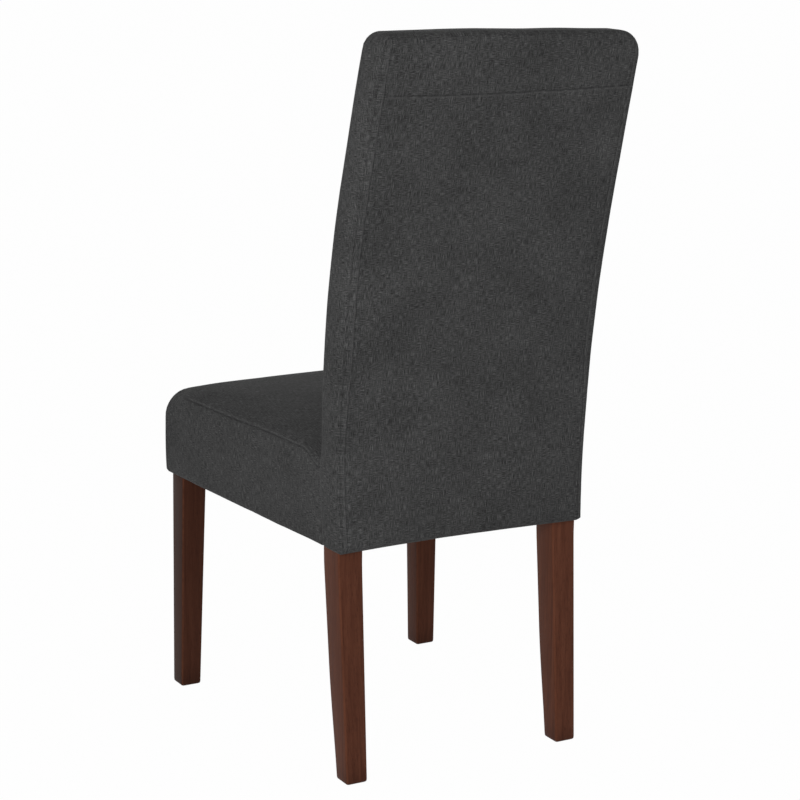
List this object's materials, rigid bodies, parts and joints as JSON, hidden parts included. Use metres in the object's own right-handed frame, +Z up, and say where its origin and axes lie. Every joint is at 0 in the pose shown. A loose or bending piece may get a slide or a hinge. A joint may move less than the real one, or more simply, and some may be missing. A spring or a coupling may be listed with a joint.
{
  "type": "parsons chair",
  "caption": "Armless dining chair with a tall, gently curved upholstered back, a crowned upholstered seat and tapered wooden legs.",
  "frame": {"origin": "floor level under the middle of the chair's width and depth", "axes": "+Z up, -Y the way the chair faces, +X the sitter's left"},
  "size_m": [0.4512, 0.6149, 1.016],
  "materials": {
    "cover_fabric": "heathered charcoal plain weave, matt",
    "stained_wood": "dark red-brown stain under satin lacquer",
    "frame_wood": "planed, unfinished",
    "steel_fasteners": "zinc plated",
    "glide_plastic": "moulded, matt",
    "webbing": "woven elastic webbing",
    "foam": "cut upholstery foam",
    "wadding": "bonded polyester fibre",
    "insulator_felt": "needled felt",
    "fibreboard": "thin fibreboard",
    "dust_cloth": "black non-woven cloth"
  },
  "bodies": {
    "root": {"back_foam": "foam", "back_front_cover": "cover_fabric", "back_left_panel": "cover_fabric", "back_lower_rail": "frame_wood", "back_middle_rail": "frame_wood", "back_rear_board": "fibreboard", "back_rear_foam": "foam", "back_rear_panel": "cover_fabric", "back_right_panel": "cover_fabric", "back_strap_lower": "webbing", "back_strap_middle": "webbing", "back_strap_upper": "webbing", "back_top_rail": "frame_wood", "back_wadding": "wadding", "corner_block_front_left": "frame_wood", "corner_block_front_right": "frame_wood", "corner_block_rear_left": "frame_wood", "corner_block_rear_right": "frame_wood", "corner_block_screws": "steel_fasteners", "cross_strap_front": "webbing", "cross_strap_middle": "webbing", "cross_strap_rear": "webbing", "dust_cover": "dust_cloth", "front_left_glide": "glide_plastic", "front_left_leg": "stained_wood", "front_rail": "frame_wood", "front_right_glide": "glide_plastic", "front_right_leg": "stained_wood", "left_rail": "frame_wood", "long_strap_left": "webbing", "long_strap_middle": "webbing", "long_strap_right": "webbing", "rear_left_glide": "glide_plastic", "rear_left_post": "stained_wood", "rear_rail": "frame_wood", "rear_right_glide": "glide_plastic", "rear_right_post": "stained_wood", "right_rail": "frame_wood", "seat_foam": "foam", "seat_front_foam": "foam", "seat_insulator": "insulator_felt", "seat_left_panel": "cover_fabric", "seat_right_panel": "cover_fabric", "seat_top_cover": "cover_fabric", "seat_wadding": "wadding", "webbing_staples": "steel_fasteners"}
  },
  "joints": []
}
